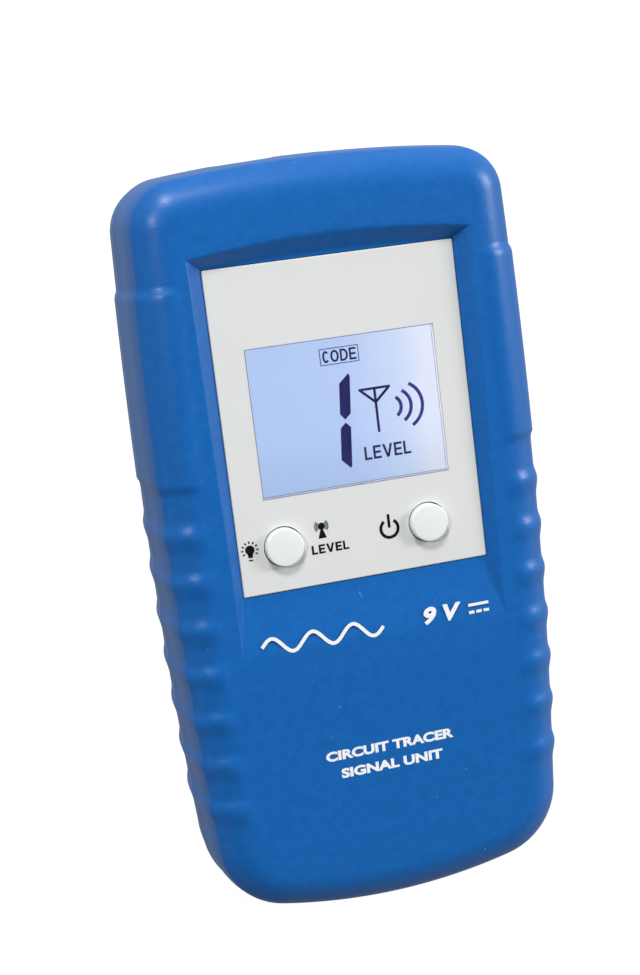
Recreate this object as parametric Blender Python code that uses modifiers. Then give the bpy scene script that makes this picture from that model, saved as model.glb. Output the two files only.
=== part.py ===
"""Circuit breaker finder: the hand-held transmitter half, lying on its back.

Row frame: +Z out of the display face, +Y toward the test-socket end, +X to the right of the display.
The origin is under the middle of the flat back. Lengths below are in millimetres and are turned into
metres when an object is made.
"""
import math

import bmesh
import bpy
from mathutils import Matrix, Vector

# ---------------------------------------------------------------- driving dimensions (mm)
MM = 0.001
CASE_LENGTH = 130.8
CASE_WIDTH = 68.5
CASE_HEIGHT = 32.0
GAP = 0.3                       # clearance between neighbouring pieces
WALL = 2.2                      # moulded wall
SPLIT_Z = 16.0                  # joint between the two shells
END_Y = CASE_LENGTH / 2

WIDEST_Y = 9.0                  # where the sides are furthest apart
BOW_UP = 1.75                   # how much each side closes in by the top end
BOW_DOWN = 2.3                  # and by the bottom end
TOP_ARCH_R = 232.0
BOTTOM_ARCH_R = 101.0
TOP_CORNER_R = 8.8
BOTTOM_CORNER_R = 13.5
FRONT_EDGE = (4.8, 10.0)        # rounding of the display side: inward, downward
BACK_EDGE = (5.6, 12.5)
FRONT_HOLLOW_EDGE = (3.8, 8.6)  # the same for the inside of each shell
BACK_HOLLOW_EDGE = (4.6, 10.3)
DRAFT = 0.3

PAD_RISE = 0.45                 # side grips stand this far proud
PAD_TOP_Y = 45.5
PAD_BOTTOM_Y = 13.1
RIDGE_FIRST_Y = 5.4
RIDGE_PITCH = 8.0
RIDGE_COUNT = 7
RIDGE_HALF = 2.7

FLOOR_Z = 29.9                  # floor of the display recess
KNEE_Y = -22.0                  # the face falls faster below here
KNEE_Z = 31.1
CROWN_Y = 51.0                  # upper edge of the recess
LOW_FACE_Z = 29.6               # face at the bottom end
RECESS_LEAN = 1.3               # side walls: outward for each millimetre up
RECESS_LOW_Y = -7.0             # below this the floor ramps up to the face
RECESS_RAMP = 7.5               # length of the ramp for each millimetre up

PANEL_SIZE = (43.2, 54.6)
PANEL_Y = 20.85
PANEL_Z = (28.6, 30.1)
WINDOW_SIZE = (32.6, 24.8)
WINDOW_AT = (0.2, 21.93)

BUTTON_R = 3.25
BUTTON_TOP_Z = 31.5
BUTTON_Y = 1.08
BUTTON_X = {"level": -13.8, "power": 11.75}
BUTTON_TRAVEL = 0.5

BOARD_SIZE = (58.0, 47.0)
BOARD_Y = 20.0
BOARD_Z = (19.2, 20.8)
SOCKET_X = 9.5
SOCKET_R = 6.2
CASE_SCREW_AT = [(22.0, 52.0), (-22.0, 52.0), (21.5, -52.0), (-21.5, -52.0)]
BOARD_SCREW_AT = [(25.5, 39.5), (-25.5, 39.5), (25.5, 0.5), (-25.5, 0.5)]

BATTERY_SIZE = (26.0, 46.0, 17.0)
BATTERY_LOW = (-13.0, -58.6, 3.9)
BAY_HALF = 13.6                 # battery bay, inside half width
BAY_WALL = 2.2
BAY_END_Y = -5.9
BAY_START_Y = -57.0
BAY_TOP_Z = 22.2
DOOR_HALF = 15.0
DOOR_END_Y = -6.3
DOOR_TOP_Z = 9.0

# ---------------------------------------------------------------- scene
for old in list(bpy.data.objects):
    bpy.data.objects.remove(old)


def collection(name):
    made = bpy.data.collections.new(name)
    bpy.context.scene.collection.children.link(made)
    return made


PARTS = collection("circuit_breaker_finder")
CUTTERS = collection("cutters")


def material(name, color, roughness=0.5, metallic=0.0):
    made = bpy.data.materials.new(name)
    made.use_nodes = True
    shader = made.node_tree.nodes["Principled BSDF"]
    shader.inputs["Base Color"].default_value = (*color, 1.0)
    shader.inputs["Roughness"].default_value = roughness
    shader.inputs["Metallic"].default_value = metallic
    return made


BLUE = material("blue_case", (0.012, 0.13, 0.45), 0.55)
WHITE = material("white_panel", (0.72, 0.73, 0.71), 0.45)
BUTTON = material("white_button", (0.85, 0.86, 0.84), 0.4)
CLEAR = material("clear_window", (0.85, 0.9, 0.95), 0.05)
LCD = material("lcd", (0.55, 0.68, 0.95), 0.1)
LIGHT = material("backlight", (0.9, 0.93, 1.0), 0.4)
BLACK = material("black_plastic", (0.02, 0.02, 0.02), 0.5)
RED = material("red_plastic", (0.55, 0.02, 0.02), 0.4)
YELLOW = material("yellow_plastic", (0.75, 0.5, 0.05), 0.4)
GREEN = material("circuit_board", (0.02, 0.2, 0.06), 0.4)
RUBBER = material("grey_foam", (0.1, 0.1, 0.1), 0.9)
STEEL = material("steel", (0.6, 0.6, 0.6), 0.3, 1.0)
BRASS = material("brass", (0.75, 0.55, 0.2), 0.3, 1.0)
COPPER = material("copper", (0.7, 0.3, 0.12), 0.35, 1.0)
FERRITE = material("ferrite", (0.05, 0.05, 0.055), 0.6)


def place(mesh, name, finish, group=PARTS):
    """Link a mesh whose points are in millimetres as a named object in metres."""
    mesh.transform(Matrix.Scale(MM, 4))
    made = bpy.data.objects.new(name, mesh)
    group.objects.link(made)
    if finish:
        mesh.materials.append(finish)
    if group is CUTTERS:
        made.hide_render = True
        made.display_type = "WIRE"
    return made


def from_bmesh(bm, name, finish, group=PARTS):
    mesh = bpy.data.meshes.new(name)
    bm.to_mesh(mesh)
    bm.free()
    return place(mesh, name, finish, group)


def box(name, low, high, finish=None, group=PARTS, round_by=0.0):
    bm = bmesh.new()
    size = [h - l for l, h in zip(low, high)]
    middle = [(h + l) / 2 for l, h in zip(low, high)]
    fit = Matrix.Translation(middle) @ Matrix.Diagonal((*size, 1.0))
    bmesh.ops.create_cube(bm, size=1.0, matrix=fit)
    made = from_bmesh(bm, name, finish, group)
    if round_by:
        bevel = made.modifiers.new("rounded", "BEVEL")
        bevel.width = round_by * MM
        bevel.segments = 2
    return made


def cylinder(name, at, radius, length, finish=None, group=PARTS, axis="Z", sides=20, round_by=0.0):
    """A cylinder from point `at` for `length` along +axis."""
    bm = bmesh.new()
    bmesh.ops.create_cone(bm, cap_ends=True, segments=sides, radius1=radius, radius2=radius, depth=length)
    turn = Matrix()
    if axis == "Y":
        turn = Matrix.Rotation(-math.pi / 2, 4, "X")
    if axis == "X":
        turn = Matrix.Rotation(math.pi / 2, 4, "Y")
    bm.transform(Matrix.Translation(at) @ turn @ Matrix.Translation((0, 0, length / 2)))
    made = from_bmesh(bm, name, finish, group)
    if round_by:
        bevel = made.modifiers.new("rounded", "BEVEL")
        bevel.width = round_by * MM
        bevel.segments = 2
        bevel.limit_method = "ANGLE"
    return made


def turned(name, profile, at, finish, axis="Z", sides=20):
    """A turned piece: (radius, height) points from the top of the axis, down the outside, to its foot."""
    mesh = bpy.data.meshes.new(name)
    mesh.from_pydata([(r, 0, h) for r, h in profile], [(i, i + 1) for i in range(len(profile) - 1)], [])
    made = place(mesh, name, finish)
    screw = made.modifiers.new("turned", "SCREW")
    screw.steps = screw.render_steps = sides
    screw.use_merge_vertices = True
    screw.merge_threshold = 0.00005
    made.location = Vector(at) * MM
    if axis == "Y":
        made.rotation_euler = (-math.pi / 2, 0, 0)
    return made


def wire(name, points, radius, finish):
    curve = bpy.data.curves.new(name, "CURVE")
    curve.dimensions = "3D"
    curve.bevel_depth = radius * MM
    curve.bevel_resolution = 2
    curve.use_fill_caps = True
    spline = curve.splines.new("POLY")
    spline.points.add(len(points) - 1)
    for point, at in zip(spline.points, points):
        point.co = (*(Vector(at) * MM), 1.0)
    made = bpy.data.objects.new(name, curve)
    PARTS.objects.link(made)
    curve.materials.append(finish)
    return made


def combine(target, cutter, operation="DIFFERENCE"):
    step = target.modifiers.new(operation.lower(), "BOOLEAN")
    step.operation = operation
    step.object = cutter
    step.solver = "EXACT"
    if cutter.name not in CUTTERS.objects:
        PARTS.objects.unlink(cutter)
        CUTTERS.objects.link(cutter)
    cutter.hide_render = True
    cutter.display_type = "WIRE"


# ---------------------------------------------------------------- case form
def half_width(y):
    """Half the case's width at y, without the grips."""
    bow = BOW_UP if y > WIDEST_Y else BOW_DOWN
    return CASE_WIDTH / 2 - PAD_RISE - bow * ((y - WIDEST_Y) / END_Y) ** 2


def face_height(y):
    """Height of the display side: highest round the recess, falling toward the bottom end."""
    if y > CROWN_Y:
        return CASE_HEIGHT
    if y > KNEE_Y:
        return KNEE_Z + (CASE_HEIGHT - KNEE_Z) * (y - KNEE_Y) / (CROWN_Y - KNEE_Y)
    return KNEE_Z - (KNEE_Z - LOW_FACE_Z) * (KNEE_Y - y) / (KNEE_Y + END_Y)


def grip_relief(y):
    """How far the side grip stands out at y: a long pad, then a row of ridges."""
    if PAD_BOTTOM_Y < y < PAD_TOP_Y:
        return PAD_RISE
    for k in range(RIDGE_COUNT):
        off = abs(y - RIDGE_FIRST_Y + k * RIDGE_PITCH) / RIDGE_HALF
        if off < 1:
            return PAD_RISE * 0.5 * (1 + math.cos(math.pi * off))
    return 0.0


def corner_centre(radius, arch_r, end):
    """Centre of the arc that joins a side to the arched end (end = 1 for the top, -1 for the bottom)."""
    y = end * (END_Y - radius)
    for _ in range(20):
        x = half_width(y) - radius
        y = end * (END_Y - arch_r + math.sqrt((arch_r - radius) ** 2 - x * x))
    return x, y


def half_outline(side_step):
    """Right half of the outline, down from the top of the centre line: (x, y, normal x, normal y)."""
    points = []
    ends = ((1, TOP_ARCH_R, TOP_CORNER_R), (-1, BOTTOM_ARCH_R, BOTTOM_CORNER_R))
    for end, arch_r, radius in ends:
        x, y = corner_centre(radius, arch_r, end)
        arch_y = end * (END_Y - arch_r)
        lean = math.atan2(x, abs(y - arch_y))
        part = []
        for k in range(5):
            a = lean * k / 5
            nx, ny = math.sin(a), end * math.cos(a)
            part.append((arch_r * nx, arch_y + arch_r * ny, nx, ny))
        for k in range(7):
            a = lean + (math.pi / 2 - lean) * k / 6
            nx, ny = math.sin(a), end * math.cos(a)
            part.append((x + radius * nx, y + radius * ny, nx, ny))
        points.append((part, y))
    (top, top_y), (bottom, bottom_y) = points
    count = round((top_y - bottom_y) / side_step)
    side = []
    for k in range(1, count):
        y = RIDGE_FIRST_Y + side_step * round((top_y - RIDGE_FIRST_Y) / side_step - k)
        if bottom_y + 0.5 < y < top_y - 0.5:
            side.append((half_width(y), y, 1.0, 0.0))
    return top + side + bottom[::-1]


def loft(name, levels, side_step, finish=None, group=PARTS):
    """A closed solid through stacked outlines. A level is (inset, height as a function of y, grip share)."""
    half = half_outline(side_step)
    bm = bmesh.new()
    rings = []
    for inset, height, grip in levels:
        right = []
        for x, y, nx, ny in half:
            out = grip_relief(y) * grip * max(nx, 0.0) ** 8 - inset
            right.append((x + nx * out, y + ny * out))
        left = [(-x, y) for x, y in right[-2:0:-1]]
        rings.append([bm.verts.new((x, y, height(y))) for x, y in right + left])
    total = len(rings[0])
    for low, high in zip(rings, rings[1:]):
        for k in range(total):
            bm.faces.new((low[k], low[(k + 1) % total], high[(k + 1) % total], high[k]))
    for ring in (rings[0], rings[-1]):
        count = len(half)
        for k in range(count - 1):
            quad = [ring[k], ring[k + 1], ring[(total - k - 1) % total], ring[(total - k) % total]]
            bm.faces.new(list(dict.fromkeys(quad)))
    bmesh.ops.recalc_face_normals(bm, faces=bm.faces)
    return from_bmesh(bm, name, finish, group)


def rounded_levels(start_z, inset, edge, to_face, toward, grip, steps):
    """Levels from the shells' joint to a face, with a rounded edge. toward: 1 display side, -1 back."""
    inward, depth = edge
    levels = [(inset, lambda y: start_z, grip)]
    for k in range(steps + 1):
        a = math.pi / 2 * k / steps
        share = grip * max(0.0, math.cos(a)) ** 0.5
        levels.append((inset + DRAFT + inward * (1 - math.cos(a)),
                       lambda y, a=a: to_face(y) - toward * depth * (1 - math.sin(a)), share))
    return levels


def front_outer():
    return rounded_levels(SPLIT_Z + GAP / 2, 0.0, FRONT_EDGE, face_height, 1, 1.0, 4)


def front_hollow():
    return rounded_levels(SPLIT_Z - 1, WALL, FRONT_HOLLOW_EDGE, lambda y: face_height(y) - WALL, 1, 0.0, 3)


def back_outer():
    return rounded_levels(SPLIT_Z - GAP / 2, 0.0, BACK_EDGE, lambda y: 0.0, -1, 1.0, 4)


def back_hollow():
    return rounded_levels(SPLIT_Z + 1, WALL, BACK_HOLLOW_EDGE, lambda y: WALL, -1, 0.0, 3)


def recess_cutter():
    """Display recess: a level floor, leaning sides, an arched upper edge and a ramp below the panel."""
    top_z = CASE_HEIGHT + 1.3
    side = PANEL_SIZE[0] / 2 + GAP
    upper = PANEL_Y + PANEL_SIZE[1] / 2 + GAP
    rise = (top_z - FLOOR_Z) * RECESS_LEAN
    base = [(-side, RECESS_LOW_Y), (side, RECESS_LOW_Y), (side, upper)]
    base += [(side * (1 - k / 4), upper) for k in range(1, 8)]
    base += [(-side, upper)]
    rim = []
    for x, y in base:
        rim_x = x + math.copysign(rise, x) * min(1.0, abs(x) / side)
        rim_y = upper + 3.2 + 3.3 * (1 - (x / side) ** 2) if y > 0 else y - (top_z - FLOOR_Z) * RECESS_RAMP
        rim.append((rim_x, rim_y))
    bm = bmesh.new()
    low = [bm.verts.new((x, y, FLOOR_Z)) for x, y in base]
    high = [bm.verts.new((x, y, top_z)) for x, y in rim]
    total = len(low)
    for k in range(total):
        bm.faces.new((low[k], low[(k + 1) % total], high[(k + 1) % total], high[k]))
    bm.faces.new(low)
    bm.faces.new(high)
    bmesh.ops.recalc_face_normals(bm, faces=bm.faces)
    return from_bmesh(bm, "recess_cut", None, CUTTERS)


def slab(name, size, middle, z, finish=None, group=PARTS, grow=0.0, round_by=0.0):
    """A flat rectangle of `size`, grown on every side, between two heights."""
    low = (middle[0] - size[0] / 2 - grow, middle[1] - size[1] / 2 - grow, z[0])
    high = (middle[0] + size[0] / 2 + grow, middle[1] + size[1] / 2 + grow, z[1])
    return box(name, low, high, finish, group, round_by)


# ---------------------------------------------------------------- display and board sizes that follow
TRAY_Z = (PANEL_Z[0] - 1.5, PANEL_Z[0])
GLASS_SIZE = (36.4, 29.0)
GLASS_Z = (25.7, PANEL_Z[0] - GAP)
SWITCH_Z = (BOARD_Z[1] + GAP, 24.4)
PLUNGER_Z = (23.8, 25.2)
FLANGE_Z = (PLUNGER_Z[1] + GAP, 26.6)
FLANGE_R = BUTTON_R + 0.7
LIGHT_LOW_Z = 23.1


def front_case():
    hollow = loft("front_hollow", front_hollow(), 8.0, None, CUTTERS)
    tray = box("tray_keep", (-25.5, -18.5, TRAY_Z[0]), (25.5, 55.0, 40.0), None, CUTTERS)
    combine(hollow, tray)
    case = loft("front_case", front_outer(), 2.0, BLUE)
    combine(case, hollow)
    combine(case, recess_cutter())
    pocket = slab("panel_pocket", PANEL_SIZE, (0, PANEL_Y), (PANEL_Z[0] - GAP, 40), None, CUTTERS, GAP)
    combine(case, pocket)
    combine(case, slab("lcd_hole", GLASS_SIZE, WINDOW_AT, (20, 40), None, CUTTERS, GAP))
    for name, x in BUTTON_X.items():
        at = (x, BUTTON_Y, 20)
        combine(case, cylinder(name + "_button_hole", at, BUTTON_R + GAP, 20, None, CUTTERS, sides=24))
    for k, (x, y) in enumerate(CASE_SCREW_AT):
        low = SPLIT_Z + GAP
        high = face_height(y) - 1.5
        post = cylinder(f"front_post_{k}", (x, y, low), 3.4, high - low, None, CUTTERS, sides=16)
        combine(case, post, "UNION")
        bore = cylinder(f"front_post_bore_{k}", (x, y, SPLIT_Z - 1), 1.5, 10, None, CUTTERS, sides=12)
        combine(case, bore)
    for k, (x, y) in enumerate(BOARD_SCREW_AT):
        low = BOARD_Z[1] + GAP
        high = face_height(y) - 1.9
        post = cylinder(f"board_post_{k}", (x, y, low), 2.8, high - low, None, CUTTERS, sides=16)
        combine(case, post, "UNION")
        combine(case, cylinder(f"board_post_bore_{k}", (x, y, low - 1), 1.3, 6, None, CUTTERS, sides=12))
    for side in (-1, 1):
        at = (side * SOCKET_X, 56, SPLIT_Z)
        combine(case, cylinder(f"front_socket_hole_{side}", at, 5.5, 14, None, CUTTERS, "Y", 24))
    return case


def rear_case():
    hollow = loft("rear_hollow", back_hollow(), 8.0, None, CUTTERS)
    case = loft("rear_case", back_outer(), 2.0, BLUE)
    combine(case, hollow)
    outer = BAY_HALF + BAY_WALL
    for side in (-1, 1):
        near, far = sorted((side * BAY_HALF, side * outer))
        low = (near, BAY_START_Y, 1.0)
        high = (far, BAY_END_Y + 1.5, BAY_TOP_Z + 1.4)
        combine(case, box(f"bay_wall_{side}", low, high, None, CUTTERS), "UNION")
    low = (-outer + 0.1, BAY_END_Y, 1.1)
    high = (outer - 0.1, BAY_END_Y + 1.4, BAY_TOP_Z + 1.3)
    combine(case, box("bay_end", low, high, None, CUTTERS), "UNION")
    low = (-outer + 0.2, BAY_START_Y + 0.1, BAY_TOP_Z)
    high = (outer - 0.2, BAY_END_Y + 0.7, BAY_TOP_Z + 1.2)
    combine(case, box("bay_roof", low, high, None, CUTTERS), "UNION")
    combine(case, box("lead_slot", (-5.0, BAY_END_Y - 1, 10.0), (5.0, BAY_END_Y + 3, 14.0), None, CUTTERS))
    combine(case, box("latch_slot", (-4.8, BAY_END_Y - 1, 0.9), (4.8, BAY_END_Y + 3, 4.3), None, CUTTERS))
    low = (-4.9, BAY_END_Y + 0.6, 0.5)
    high = (4.9, BAY_END_Y + 3.2, WALL)
    combine(case, box("latch_floor", low, high, None, CUTTERS), "UNION")
    low = (-DOOR_HALF - GAP, -70, -1)
    high = (DOOR_HALF + GAP, DOOR_END_Y + GAP, DOOR_TOP_Z + GAP)
    opening = box("door_opening", low, high, None, CUTTERS)
    low = (-outer - 0.2, BAY_START_Y + 0.1, WALL + GAP)
    keep = box("bay_keep", low, (outer + 0.2, 0, 30), None, CUTTERS)
    combine(opening, keep)
    combine(case, opening)
    for k, (x, y) in enumerate(CASE_SCREW_AT):
        post = cylinder(f"rear_post_{k}", (x, y, 0.8), 3.9, SPLIT_Z - 1.1, None, CUTTERS, sides=20)
        combine(case, post, "UNION")
        combine(case, cylinder(f"screw_well_{k}", (x, y, -1), 2.9, 10.5, None, CUTTERS, sides=20))
        combine(case, cylinder(f"screw_bore_{k}", (x, y, 5), 1.6, 12, None, CUTTERS, sides=12))
    for side in (-1, 1):
        at = (side * SOCKET_X, 56, SPLIT_Z)
        combine(case, cylinder(f"rear_socket_hole_{side}", at, 5.5, 14, None, CUTTERS, "Y", 24))
    return case


def battery_door():
    hollow = loft("door_hollow", back_hollow(), 8.0, None, CUTTERS)
    door = loft("battery_door", back_outer(), 2.0, BLUE)
    combine(door, hollow)
    high = (DOOR_HALF, DOOR_END_Y, DOOR_TOP_Z)
    keep = box("door_keep", (-DOOR_HALF, -70, -1), high, None, CUTTERS)
    combine(door, keep, "INTERSECT")
    neck = box("latch_neck", (-4.0, DOOR_END_Y - 2.2, 1.6), (4.0, DOOR_END_Y - 0.1, 3.5), None, CUTTERS)
    combine(door, neck, "UNION")
    low = (-3.9, DOOR_END_Y - 2.0, WALL + GAP)
    tongue = box("latch_tongue", low, (3.9, DOOR_END_Y + 2.2, 3.4), None, CUTTERS)
    combine(door, tongue, "UNION")
    for k in range(4):
        y = -17.0 - 2.2 * k
        combine(door, box(f"thumb_groove_{k}", (-7.0, y - 0.5, -1), (7.0, y + 0.5, 0.5), None, CUTTERS))
    return door


# ---------------------------------------------------------------- display stack
def fascia_panel():
    panel = slab("fascia_panel", PANEL_SIZE, (0, PANEL_Y), PANEL_Z, WHITE, round_by=0.25)
    combine(panel, slab("window_hole", WINDOW_SIZE, WINDOW_AT, (20, 40), None, CUTTERS, GAP))
    for name, x in BUTTON_X.items():
        at = (x, BUTTON_Y, 20)
        combine(panel, cylinder(name + "_panel_hole", at, BUTTON_R + GAP, 20, None, CUTTERS, sides=24))


def display():
    slab("display_window", WINDOW_SIZE, WINDOW_AT, (PANEL_Z[0], PANEL_Z[1] - 0.1), CLEAR, round_by=0.15)
    slab("lcd_glass", GLASS_SIZE, WINDOW_AT, GLASS_Z, LCD)
    frame = slab("lcd_frame", GLASS_SIZE, WINDOW_AT, (BOARD_Z[1] + GAP, TRAY_Z[0] - GAP), BUTTON, grow=1.7,
                 round_by=0.3)
    combine(frame, slab("lcd_frame_hole", GLASS_SIZE, WINDOW_AT, (10, 40), None, CUTTERS, GAP))
    left = WINDOW_AT[0] - GLASS_SIZE[0] / 2
    right = WINDOW_AT[0] + GLASS_SIZE[0] / 2
    low = WINDOW_AT[1] - GLASS_SIZE[1] / 2
    high = WINDOW_AT[1] + GLASS_SIZE[1] / 2
    under = GLASS_Z[0] - GAP
    box("backlight_panel", (left + 2.0, low, LIGHT_LOW_Z), (right, high - 2.8, under), LIGHT, round_by=0.2)
    middle = WINDOW_AT[1]
    box("backlight_led", (left, middle - 3.0, LIGHT_LOW_Z), (left + 1.7, middle + 3.0, under), YELLOW)
    box("zebra_strip", (left + 1.0, high - 2.4, BOARD_Z[1] + GAP), (right - 1.0, high, under), RUBBER)


def buttons():
    top = BUTTON_TOP_Z
    for name, x in BUTTON_X.items():
        cap = [(0, top), (BUTTON_R - 0.9, top - 0.05), (BUTTON_R - 0.3, top - 0.3), (BUTTON_R, top - 0.95),
               (BUTTON_R, FLANGE_Z[1]), (FLANGE_R, FLANGE_Z[1]), (FLANGE_R, FLANGE_Z[0]),
               (0, FLANGE_Z[0])]
        low = PLUNGER_Z[0]
        moved = [(r, h - low) for r, h in cap]
        turned(name + "_button", moved, (x, BUTTON_Y, low), BUTTON, sides=24)
        cylinder(name + "_switch_plunger", (x, BUTTON_Y, low), 1.6, PLUNGER_Z[1] - low, BLACK, sides=16)
        body = slab(name + "_switch_body", (6.0, 6.0), (x, BUTTON_Y), SWITCH_Z, STEEL, round_by=0.2)
        at = (x, BUTTON_Y, low - BUTTON_TRAVEL - 0.25)
        combine(body, cylinder(name + "_switch_bore", at, 1.6 + GAP, 5, None, CUTTERS, sides=16))


# ---------------------------------------------------------------- board and what it carries
def main_board():
    board = slab("main_board", BOARD_SIZE, (0, BOARD_Y), BOARD_Z, GREEN)
    for k, (x, y) in enumerate(BOARD_SCREW_AT):
        combine(board, cylinder(f"board_hole_{k}", (x, y, 10), 1.6, 20, None, CUTTERS, sides=12))


def board_components():
    under = BOARD_Z[0] - GAP
    core_x, core_y = -12.0, 24.0
    middle = (core_x, core_y)
    core = slab("transformer_core", (18.0, 12.0), middle, (under - 13, under), FERRITE, round_by=0.3)
    for side in (-1, 1):
        at = (core_x + side * 4.25, core_y)
        window = slab(f"core_window_{side}", (3.5, 20.0), at, (under - 10.2, under - 2.8), None, CUTTERS)
        combine(core, window)
    coil = slab("transformer_coil", (11.4, 17.2), middle, (under - 9.9, under - 3.1), COPPER, round_by=0.8)
    combine(coil, slab("coil_hole", (5.6, 12.6), middle, (0, 30), None, CUTTERS))
    box("coupling_capacitor", (5, 28, under - 11), (20, 34, under), YELLOW, round_by=0.5)
    for k, x in enumerate((7.0, 15.5)):
        cylinder(f"filter_capacitor_{k + 1}", (x, 20, under - 8), 3.15, 8, BLACK, round_by=0.3, sides=16)
    box("control_chip", (4, 5, under - 1.6), (13, 14, under), BLACK, round_by=0.15)
    box("timing_crystal", (16.5, 6, under - 3.4), (21, 16.5, under), STEEL, round_by=0.8)
    cylinder("overload_disc", (-24.5, 12, under - 5.2), 4.5, 3, YELLOW, axis="X", round_by=0.6)


def test_sockets():
    for name, side, finish in (("red", 1, RED), ("black", -1, BLACK)):
        x = side * SOCKET_X
        mouth, shoulder, foot = 64.7, 62.0, 44.0
        shell = [(1.7, foot + 2), (4.3, foot + 2), (4.3, mouth), (5.1, mouth), (5.1, shoulder),
                 (SOCKET_R, shoulder), (SOCKET_R, foot), (1.7, foot), (1.7, foot + 2)]
        shell = [(r, h - foot) for r, h in shell]
        turned(name + "_socket_housing", shell, (x, foot, SPLIT_Z), finish, "Y", 24)
        lip, base, tail = 60.0, foot + 2 + GAP, 41.0
        sleeve = [(0, base + 1.5), (2.05, base + 1.5), (2.05, lip), (2.9, lip), (2.9, base), (1.3, base),
                  (1.3, tail), (0, tail)]
        sleeve = [(r, h - tail) for r, h in sleeve]
        turned(name + "_socket_sleeve", sleeve, (x, tail, SPLIT_Z), BRASS, "Y", 20)


def screw(name, at, head, length, finish=STEEL):
    """A pan-head screw, head down, its shank pointing up from point `at` under the head."""
    head_r, head_h, shank_r = head
    profile = [(0, length), (shank_r * 0.6, length), (shank_r, length - 0.8), (shank_r, 0), (head_r, 0),
               (head_r, -head_h * 0.6), (head_r * 0.7, -head_h), (0, -head_h)]
    return turned(name, profile, at, finish, sides=12)


def fasteners():
    for k, (x, y) in enumerate(CASE_SCREW_AT):
        screw(f"case_screw_{k + 1}", (x, y, 9.2), (2.5, 1.8, 1.2), 13.5)
    for k, (x, y) in enumerate(BOARD_SCREW_AT):
        screw(f"board_screw_{k + 1}", (x, y, BOARD_Z[0] - GAP), (2.2, 1.4, 1.0), 6.2)


# ---------------------------------------------------------------- battery
def battery():
    low = Vector(BATTERY_LOW)
    high = low + Vector(BATTERY_SIZE)
    middle = (low + high) / 2
    box("battery_block", low, high, BLACK, round_by=1.2)
    end = high.y + GAP
    cylinder("battery_positive_stud", (middle.x + 6.4, end, middle.z), 2.8, 1.9, STEEL, axis="Y", sides=16)
    cylinder("battery_negative_stud", (middle.x - 6.4, end, middle.z), 3.8, 1.9, STEEL, axis="Y", sides=16)
    face = end + 1.9 + GAP
    top = middle.z + 6.2
    box("battery_snap", (-12.6, face, middle.z - 6.2), (12.6, face + 2.6, top), BLACK, round_by=0.5)
    box("battery_foam", (-9.0, -50.0, high.z + GAP), (9.0, -22.0, BAY_TOP_Z - GAP), RUBBER)
    start = face + 2.6 + GAP
    for name, x, turn_y, finish in (("red", 2.5, 6.0, RED), ("black", -2.5, 1.5, BLACK)):
        under = BOARD_Z[0] - GAP
        route = [(x, start, 12.0), (x, BAY_END_Y + 1.0, 12.0), (x, BAY_END_Y + 3.4, 12.2),
                 (x, turn_y - 2.0, 13.0), (x, turn_y - 0.6, 14.2), (x, turn_y, 15.6), (x, turn_y, under)]
        wire(f"battery_lead_{name}", route, 0.65, finish)


front_case()
rear_case()
battery_door()
fascia_panel()
display()
buttons()
main_board()
board_components()
test_sockets()
fasteners()
battery()

for made in PARTS.objects:
    if made.type == "MESH":
        made.data.shade_smooth()
        made.data.set_sharp_from_angle(angle=math.radians(35))
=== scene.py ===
"""Looks of the circuit breaker finder: fine shells, printed panel, lit display, keys and materials.

Lengths are in millimetres in the row frame (+Z out of the display face, +Y to the socket end) and become
metres when an object is made.
"""

import math

import bmesh
import bpy
import numpy as np
from mathutils import Matrix, Vector


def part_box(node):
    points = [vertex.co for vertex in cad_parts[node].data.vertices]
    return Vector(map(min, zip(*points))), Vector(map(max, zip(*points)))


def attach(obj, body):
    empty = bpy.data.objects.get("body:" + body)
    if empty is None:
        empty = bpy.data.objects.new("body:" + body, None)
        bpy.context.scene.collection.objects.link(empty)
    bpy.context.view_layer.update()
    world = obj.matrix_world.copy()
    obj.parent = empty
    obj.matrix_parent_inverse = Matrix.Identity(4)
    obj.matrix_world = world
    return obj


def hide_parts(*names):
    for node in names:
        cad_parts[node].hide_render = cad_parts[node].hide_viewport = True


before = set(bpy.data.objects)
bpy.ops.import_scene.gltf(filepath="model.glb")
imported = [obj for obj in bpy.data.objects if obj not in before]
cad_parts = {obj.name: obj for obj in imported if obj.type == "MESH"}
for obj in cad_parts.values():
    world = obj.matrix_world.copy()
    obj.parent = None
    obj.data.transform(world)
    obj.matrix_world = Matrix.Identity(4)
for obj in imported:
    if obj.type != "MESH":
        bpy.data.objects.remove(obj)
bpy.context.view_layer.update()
MM = 0.001


def cad_box(node):
    """A CAD node's lowest and highest corner in millimetres."""
    low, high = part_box(node)
    return low / MM, high / MM


# ---------------------------------------------------------------- places read from the frame
FRONT_LOW, FRONT_HIGH = cad_box("front_case")
PANEL_LOW, PANEL_HIGH = cad_box("fascia_panel")
WINDOW_LOW, WINDOW_HIGH = cad_box("display_window")
LCD_LOW, LCD_HIGH = cad_box("lcd_glass")
DOOR_LOW, DOOR_HIGH = cad_box("battery_door")
BUTTONS = {name: cad_box(name + "_button") for name in ("level", "power")}

GAP = 0.3                           # between neighbouring CAD parts
WALL = 2.2                          # thickness of both shells
CASE_HEIGHT = FRONT_HIGH.z
END_Y = FRONT_HIGH.y
SPLIT_Z = FRONT_LOW.z - GAP / 2
HALF_WIDTH = FRONT_HIGH.x
FIT = 0.13                          # finer gap round the fascia than the CAD model's
PANEL_SIDE = PANEL_HIGH.x + FIT
PANEL_UPPER = PANEL_HIGH.y + FIT
KEY_R = 3.25
SOCKET_HOLE_R = 5.5
SOCKET_HOLE_DEPTH = 9

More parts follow.
